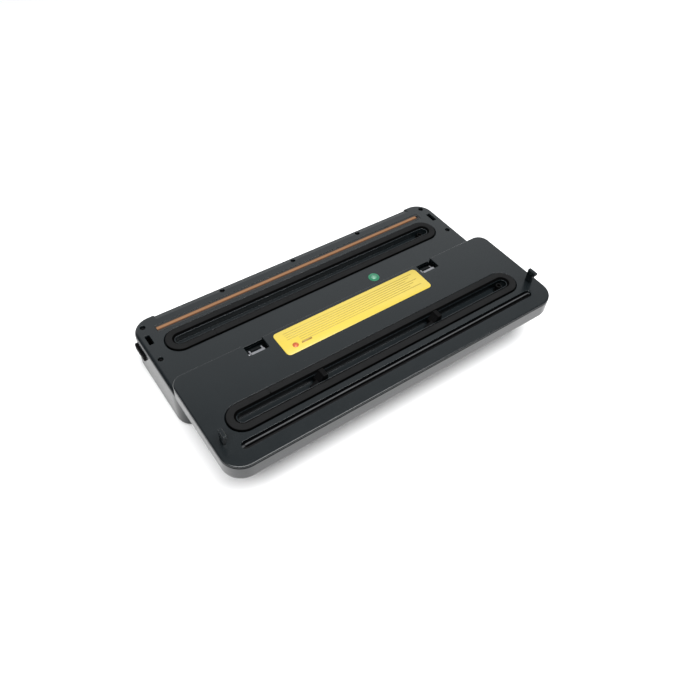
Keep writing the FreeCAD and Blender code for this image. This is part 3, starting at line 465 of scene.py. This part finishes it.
def milky(name, colour):
    """Translucent plastic or silicone that glows a little inside."""
    g = Graph(name)
    g.tint(g.noise(80.0), scaled(colour, 0.9), scaled(colour, 1.05))
    g.shader.inputs["Roughness"].default_value = 0.35
    g.shader.inputs["Subsurface Weight"].default_value = 0.25
    g.shader.inputs["Subsurface Radius"].default_value = (0.004, 0.004, 0.004)
    g.bump(g.noise(500.0), 0.02 * MM)
    return g.material


STRIP_LOW, STRIP_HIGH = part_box("press_strip")
STRIP_MID = (STRIP_LOW.y + STRIP_HIGH.y) / 2
STRIP_LIT_LINE = STRIP_MID + 0.6 * MM        # the strip's painted highlight line, a little off its middle
TAPE_LOW, TAPE_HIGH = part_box("heater_tape")
TAPE_MID = (TAPE_LOW.y + TAPE_HIGH.y) / 2
TAPE_HALF = (TAPE_HIGH.y - TAPE_LOW.y) / 2
TAPE_CLEAN = TAPE_MID + 0.4 * MM        # middle of the tape's pale line between its dark edges

# Boxes that the photo shows nearly black, in millimetres: low and high corner of the right half.
# Inside them the casing's colour is painted deep shade.
HINGE_WELL = ((79.8, -4.0, 36.9), (122.2, 19.4, 43.9))
HINGE_CUTOUT = ((90.7, -7.6, 42.3), (112.5, 8.0, 62.3))
TROUGH_EDGE = ((-1.0, -57.8, 57.0), (160.0, -53.6, 62.9))
STRIP_GROOVE = ((-1.0, -91.2, 58.0), (170.0, -82.4, 62.4))
LID_GAP = ((-1.0, -120.0, 59.6), (200.0, 20.0, 61.4))
# In these two boxes the foam's skirts and inner flanks get painted shade.
BASE_FOAM_FOOT = ((-1.0, 40.0, 40.0), (200.0, 90.0, 45.3))
LID_FOAM_FOOT = ((-1.0, -90.0, 58.0), (200.0, -30.0, 64.0))
CASING_SHADE = (HINGE_WELL, HINGE_CUTOUT, TROUGH_EDGE, STRIP_GROOVE, LID_GAP)
FOAM_SHADE_BOXES = (BASE_FOAM_FOOT, LID_FOAM_FOOT)

materials = {
    # Charcoal rims lightened sixfold, partly wear and partly a painted highlight; crevices and the
    # casing boxes get painted shade.
    "charcoal_plastic": plastic("charcoal_plastic", (0.0050, 0.0070, 0.0081), 0.24, wear_and_highlight=6.0,
                                painted_shade_boxes=CASING_SHADE),
    "dark_plastic": plastic("dark_plastic", (0.0012, 0.0012, 0.0014), 0.52, grain=0.5, shine=0.08),
    "fascia_plastic": plastic("fascia_plastic", (0.006, 0.006, 0.007), 0.14, depth=0.002),
    "key_plastic": plastic("key_plastic", (0.30, 0.31, 0.32), 0.4, wear_and_highlight=1.15),
    "foam": foam("foam", (0.0074, 0.0076, 0.0079)),
    # Silicone strip: the paler crown is a painted highlight, the near-black flanks and foot are
    # painted shade.
    "silicone": crowned_rubber("silicone", (0.042, 0.044, 0.046), (0.0014, 0.0014, 0.0016),
                               STRIP_LIT_LINE),
    "feet_rubber": rubber("feet_rubber", (0.02, 0.02, 0.02), 0.75),
    "hose_silicone": milky("hose_silicone", (0.75, 0.75, 0.70)),
    "heater_tape": glass_cloth("heater_tape", (0.205, 0.104, 0.050), (0.075, 0.025, 0.005),
                               TAPE_CLEAN, TAPE_HALF),
    "insulator": plastic("insulator", (0.010, 0.010, 0.010), 0.55),
    "element": metal("element", (0.50, 0.46, 0.40), 0.35, along=(0.05, 1.0, 1.0)),
    "brass": metal("brass", (0.72, 0.50, 0.20), 0.3),
    "steel": metal("steel", (0.42, 0.42, 0.44), 0.32, along=(0.1, 1.0, 1.0)),
    "screw_steel": metal("screw_steel", (0.030, 0.030, 0.032), 0.45),
    "zinc": metal("zinc", (0.55, 0.56, 0.58), 0.38),
    "copper_winding": winding("copper_winding", (0.60, 0.22, 0.08)),
    "board": board("board", (0.02, 0.12, 0.05)),
    "component": plastic("component", (0.02, 0.02, 0.025), 0.45),
    "lens": milky("lens", (0.60, 0.65, 0.68)),
    "label_yellow": film("label_yellow", (0.50, 0.385, 0.061), 0.30),
    "sticker_green": film("sticker_green", (0.014, 0.135, 0.068)),
    "wire_insulation": rubber("wire_insulation", (0.45, 0.05, 0.04), 0.5),
}


def paint_cad_nodes():
    """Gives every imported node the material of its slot."""
    for part in frame["record"]["subparts"]:
        for slot in nodes[part["node"]].material_slots:
            slot.material = materials[part["material_slot"]]


# ---- shapes -------------------------------------------------------------------------
def piece(name, points, faces, slot, body, stands_for=(), paint=None):
    """A finished piece: smooth shaded, in its material, on its body."""
    mesh = bpy.data.meshes.new(name)
    mesh.from_pydata([tuple(p) for p in points], [], faces)
    mesh.validate()
    mesh.shade_smooth()
    mesh.materials.append(paint or materials[slot])
    obj = bpy.data.objects.new(name, mesh)
    bpy.context.scene.collection.objects.link(obj)
    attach(obj, body)
    if stands_for:
        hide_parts(*stands_for)
    return obj


def stadium(straight, radius, y, arc_steps, stops):
    """Places round a bar with half-round ends: (x, y, outward x, outward y), counter-clockwise.
    stops are the x places of the points on each straight side."""
    found = []
    for end in (1, -1):
        for k in range(arc_steps + 1):
            a = math.pi * (k / arc_steps - 0.5 * end)
            c, s = math.cos(a), math.sin(a)
            found.append((end * straight + radius * c, y + radius * s, c, s))
        found += [(x, y + end * radius, 0.0, float(end)) for x in sorted(stops, reverse=end > 0)]
    return found


def even_stops(straight, count):
    """Places that share out a straight run from -straight to straight, without its ends."""
    return [straight * (2 * k / count - 1) for k in range(1, count)]


def grid_faces(rows, columns, wrap_rows):
    """Quads between rows of points that each close on themselves."""
    faces = []
    for i in range(rows if wrap_rows else rows - 1):
        for j in range(columns):
            a = i * columns + j
            b = i * columns + (j + 1) % columns
            c = ((i + 1) % rows) * columns + (j + 1) % columns
            d = ((i + 1) % rows) * columns + j
            faces.append((a, d, c, b))
    return faces


def stacked(name, rings, slot, body, stands_for):
    """A closed solid from level outlines of the same length, lowest first."""
    count = len(rings[0])
    points = [p for ring in rings for p in ring]
    faces = [tuple(reversed(f)) for f in grid_faces(len(rings), count, False)]
    faces.append(tuple(reversed(range(count))))
    faces.append(tuple(range((len(rings) - 1) * count, len(rings) * count)))
    piece(name, points, faces, slot, body, stands_for)


# ---- foam gaskets -------------------------------------------------------------------
FOAM_WIDTH = 8.4 * MM
SECTION_POINTS = 32
SQUARENESS = 5.0            # of the section: 2 is an ellipse
SEAM_X = -118.0 * MM        # where the foam strip's two ends meet
SEAM_WIDTH = 0.45 * MM
SEAM_DEPTH = 0.55 * MM
SEAM_STEPS = [d * MM for d in (-1.6, -0.8, -0.4, -0.15, 0.15, 0.4, 0.8, 1.6)]
SEAM_CLEAR = 2.2 * MM       # no other ring of points is nearer to the seam than this
RING_SPACING = 2.5 * MM
FLAT_TO = 1.3 * MM          # past here the foam slopes down towards the trough
FLANK_DROP = 2.3 * MM
FLANK_CURVE = 1.3
SWELL_PITCH = 20.0 * MM     # of the slow unevenness along the ring
FINE_PITCH = 4.0 * MM


def foam_gasket(node, body, seed):
    """A soft ring with a crowned top and eased edges, butted together at one seam.
    Gives back the piece and the low corner of its box."""
    low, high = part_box(node)
    y = (low.y + high.y) / 2
    outer = (high.y - low.y) / 2
    straight = high.x - outer
    radius = outer - FOAM_WIDTH / 2
    stops = even_stops(straight, int(2 * straight / RING_SPACING))
    stops = [x for x in stops if abs(x - SEAM_X) > SEAM_CLEAR]
    stops += [SEAM_X + d for d in SEAM_STEPS]
    track = stadium(straight, radius, y, arc_steps=36, stops=stops)
    mid_z = (low.z + high.z) / 2
    half_z = (high.z - low.z) / 2
    points = []
    for x, py, nx, ny in track:
        rear = abs(py - y) > radius * 0.99 and (py - y) * y < 0
        seam = math.exp(-((x - SEAM_X) / SEAM_WIDTH) ** 2) if rear else 0.0
        for k in range(SECTION_POINTS):
            a = 2.0 * math.pi * k / SECTION_POINTS
            c, s = math.cos(a), math.sin(a)
            u = math.copysign(abs(c) ** (2 / SQUARENESS), c) * FOAM_WIDTH / 2
            v = math.copysign(abs(s) ** (2 / SQUARENESS), s) * half_z
            swell = noise.noise(Vector((x / SWELL_PITCH, py / SWELL_PITCH, seed + k / 11)))
            fine = noise.noise(Vector((x / FINE_PITCH, py / FINE_PITCH, seed + k / 4)))
            crown = 0.10 * MM * (1.0 - (2 * u / FOAM_WIDTH) ** 2) if s > 0 else 0.0
            lift = (0.10 * swell + 0.035 * fine) * MM if s > 0 else 0.0
            if s > 0 and u < -FLAT_TO:
                share = (-FLAT_TO - u) / (FOAM_WIDTH / 2 - FLAT_TO)
                lift -= FLANK_DROP * share ** FLANK_CURVE * min(1.0, s * 1.6)
            u += (0.07 * swell + 0.03 * fine) * MM * (1.0 if s > -0.5 else 0.0)
            v += crown + lift - 0.15 * MM - seam * SEAM_DEPTH * (1.0 if s > 0 else 0.0)
            u -= math.copysign(seam * 0.25 * MM, u)
            points.append((x + nx * u, py + ny * u, mid_z + v))
    faces = grid_faces(len(track), SECTION_POINTS, True)
    gasket = piece(node.replace("gasket", "foam_gasket"), points, faces, "foam", body, (node,))
    return gasket, low


# ---- sealing strip ------------------------------------------------------------------
TAPE_STEPS = 220
ELEMENT_EDGE = 0.45         # half width of the flat element, as a share of the tape's
DIP_FROM = 0.72             # outside this share the tape lies low
TAPE_RISE = 0.16 * MM
ELEMENT_RISE = 0.30 * MM    # more, over the element


def heat_tape():
    """Cloth tape that dips at its edges and rises over the flat element beneath it."""
    one_side = [0.38, 0.5, 0.6, DIP_FROM, 0.86, 0.97, 1.0]
    across = [-t for t in reversed(one_side)] + [0.0] + one_side
    points = []
    for i in range(TAPE_STEPS + 1):
        x = TAPE_LOW.x + (TAPE_HIGH.x - TAPE_LOW.x) * i / TAPE_STEPS
        from_end = min(i, TAPE_STEPS - i)
        cap = 1.0 if from_end > 1 else (0.25, 0.8)[from_end]
        for t in across:
            slope = max(0.0, (DIP_FROM - abs(t)) / (DIP_FROM - ELEMENT_EDGE))
            ridge = 1.0 if abs(t) < ELEMENT_EDGE else slope ** 2
            lift = (TAPE_RISE + ELEMENT_RISE * ridge) * cap
            ripple = 0.035 * MM * noise.noise(Vector((x / 0.006, t, 3.0)))
            sway = 0.10 * MM * noise.noise(Vector((x / 0.03, 7.0, 1.0)))
            z = TAPE_LOW.z + (0.03 * MM if abs(t) == 1.0 else lift + ripple)
            points.append((x, TAPE_MID + t * TAPE_HALF * 0.98 + sway, z))
        points.append((x, TAPE_MID, TAPE_LOW.z))
    columns = len(across) + 1
    faces = [tuple(reversed(f)) for f in grid_faces(TAPE_STEPS + 1, columns, False)]
    faces.append(tuple(range(columns)))
    faces.append(tuple(reversed(range(TAPE_STEPS * columns, (TAPE_STEPS + 1) * columns))))
    piece("cloth_heat_tape", points, faces, "heater_tape", "base", ("heater_tape",))


def press_strip():
    """A half-round silicone rib on a flat foot."""
    foot = (STRIP_HIGH.y - STRIP_LOW.y) / 2
    straight = STRIP_HIGH.x - foot
    rib, shoulder = 1.4 * MM, 1.5 * MM
    rise = STRIP_HIGH.z - STRIP_LOW.z - shoulder
    steps = 10
    arcs = [math.pi / 2 * k / steps for k in range(steps)]
    # Half width and height, from the foot's underside to the crown.
    profile = [(foot * 0.97, 0.0), (foot, 0.1 * MM), (foot, 0.6 * MM), (foot * 0.97, 0.7 * MM),
               (rib * 1.05, 0.72 * MM), (rib, 0.9 * MM)]
    profile += [(rib * math.cos(a), shoulder + rise * math.sin(a)) for a in arcs]
    stops = even_stops(straight, 120)
    rings = []
    for half, height in profile:
        ring = []
        for x, py, _, _ in stadium(straight, half, STRIP_MID, arc_steps=14, stops=stops):
            wave = 0.05 * height * noise.noise(Vector((x / 0.025, 5.0, 2.0)))
            ring.append((x, py + wave, STRIP_LOW.z + height))
        rings.append(ring)
    stacked("silicone_press_strip", rings, "silicone", "lid", ("press_strip",))


# ---- label and sticker --------------------------------------------------------------
def rounded_plate(half_x, half_y, radius, middle, z, arc_steps=8):
    """A level outline with round corners."""
    found = []
    for k, (sx, sy) in enumerate(((1, -1), (1, 1), (-1, 1), (-1, -1))):
        for j in range(arc_steps + 1):
            a = math.pi / 2 * (k - 1 + j / arc_steps)
            x = sx * (half_x - radius) + radius * math.cos(a)
            y = sy * (half_y - radius) + radius * math.sin(a)
            found.append((middle[0] + x, middle[1] + y, z))
    return found


def flat_marks(name, outlines, slot, body, paint):
    """Printed marks: thin plates, each from one outline, just above the film."""
    points, faces = [], []
    thick = 0.02 * MM
    for outline in outlines:
        first, n = len(points), len(outline)
        points += [tuple(p) for p in outline] + [(p[0], p[1], p[2] + thick) for p in outline]
        faces.append(tuple(first + k for k in reversed(range(n))))
        faces.append(tuple(first + n + k for k in range(n)))
        for k in range(n):
            m = (k + 1) % n
            faces.append((first + k, first + m, first + n + m, first + n + k))
    piece(name, points, faces, slot, body, (), paint)


RULE_ROWS = 7
RULE_PITCH = 2.7 * MM
RULE_HALF = 0.36 * MM
SPOT_R = 3.0 * MM


def rear_label():
    """The yellow label. Plain rules, a round spot and a bar stand in for its print."""
    low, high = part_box("rear_label")
    middle = ((low.x + high.x) / 2, (low.y + high.y) / 2)
    half_x, half_y = (high.x - low.x) / 2, (high.y - low.y) / 2
    corner = 4.0 * MM
    top = high.z - 0.06 * MM
    levels = ((0.0, low.z), (0.0, top - 0.05 * MM), (0.06 * MM, top))
    rings = [rounded_plate(half_x - inset, half_y - inset, corner - inset, middle, z)
             for inset, z in levels]
    stacked("yellow_label", rings, "label_yellow", "lid", ("rear_label",))
    rules = []
    for row in range(RULE_ROWS):
        # The lower rows start further in, clear of the spot, and the right ends are uneven.
        y = high.y - 4.6 * MM - RULE_PITCH * row
        left = low.x + (9.0 if row < 4 else 20.0) * MM
        right = high.x - (7.0 + 6.0 * (row % 3)) * MM
        centre = ((left + right) / 2, y)
        half = (right - left) / 2
        rules.append(rounded_plate(half, RULE_HALF, 0.34 * MM, centre, top, arc_steps=2))
    spot_at = (low.x + 12.5 * MM, low.y + 8.2 * MM)
    bar_at = (spot_at[0] + 12.0 * MM, spot_at[1] - 0.6 * MM)
    spot = rounded_plate(SPOT_R, SPOT_R, SPOT_R, spot_at, top)
    bar = rounded_plate(5.6 * MM, 0.9 * MM, 0.4 * MM, bar_at, top)
    for marks, outlines, ink, colour in (
            ("label_rules", rules, "rule_ink", (0.35, 0.262, 0.052)),
            ("label_spot", [spot], "spot_ink", (0.43, 0.099, 0.028)),
            ("label_bar", [bar], "bar_ink", (0.28, 0.163, 0.035))):
        flat_marks(marks, outlines, "label_yellow", "lid", film(ink, colour))


def green_sticker():
    """The round sticker, with a plain pale spot in its middle."""
    low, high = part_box("round_sticker")
    middle = ((low.x + high.x) / 2, (low.y + high.y) / 2)
    radius = (high.x - low.x) / 2
    steps = 48
    levels = ((1.0, 0.0), (1.0, 0.7), (0.985, 0.9))
    turns = [2 * math.pi * k / steps for k in range(steps)]
    rings = []
    for share, height in levels:
        r, z = radius * share, low.z + (high.z - low.z) * height
        rings.append([(middle[0] + r * math.cos(a), middle[1] + r * math.sin(a), z) for a in turns])
    stacked("green_sticker", rings, "sticker_green", "base", ("round_sticker",))
    spot_r, top = radius * 0.5, rings[-1][0][2]
    spot = rounded_plate(spot_r, spot_r, spot_r, middle, top, arc_steps=12)
    flat_marks("sticker_spot", [spot], "sticker_green", "base",
               film("pale_ink", (0.116, 0.275, 0.187)))


# ---- latch springs ------------------------------------------------------------------
SPRING_WIRE = 0.3 * MM      # radius
SPRING_TURNS = 7
STEPS_PER_TURN = 28


def latch_spring(side):
    """A coil of wire against its post, built at one length."""
    node = side + "_latch_spring"
    low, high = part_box(node)
    radius = (high.y - low.y) / 2 - SPRING_WIRE
    middle = Vector((0.0, (low.y + high.y) / 2, high.z - radius - SPRING_WIRE))
    along = Vector((1.0, 0.0, 0.0))
    start, end = low.x + SPRING_WIRE * 1.05, high.x - SPRING_WIRE * 1.05
    around = 8
    total = SPRING_TURNS * STEPS_PER_TURN
    points = []
    for i in range(total + 1):
        # Half a turn at each end lies flat.
        share = i / total
        risen = min(1.0, max(0.0, (share - 0.5 / SPRING_TURNS) / (1.0 - 1.0 / SPRING_TURNS)))
        a = 2.0 * math.pi * SPRING_TURNS * share
        out = Vector((0.0, math.cos(a), math.sin(a)))
        centre = middle + along * (start + (end - start) * risen) + out * radius
        for k in range(around):
            b = 2.0 * math.pi * k / around
            points.append(centre + (out * math.cos(b) + along * math.sin(b)) * SPRING_WIRE)
    faces = grid_faces(total + 1, around, False)
    faces.append(tuple(range(around)))
    faces.append(tuple(reversed(range(total * around, (total + 1) * around))))
    coil = piece(side + "_coil_spring", points, faces, "zinc", "base", (node,))
    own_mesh(coil)


# ---- put it together ------------------------------------------------------------------
make_camera()
make_world()
make_light()
make_floor()
paint_cad_nodes()

base_foam, base_foam_low = foam_gasket("base_gasket", "base", 1.0)
lid_foam, lid_foam_low = foam_gasket("lid_gasket", "lid", 9.0)
heat_tape()
press_strip()
rear_label()
green_sticker()
latch_spring("left")
latch_spring("right")

for soft, seat in ((base_foam, base_foam_low), (lid_foam, lid_foam_low)):
    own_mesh(soft)

bpy.context.scene.view_settings.view_transform = "Standard"
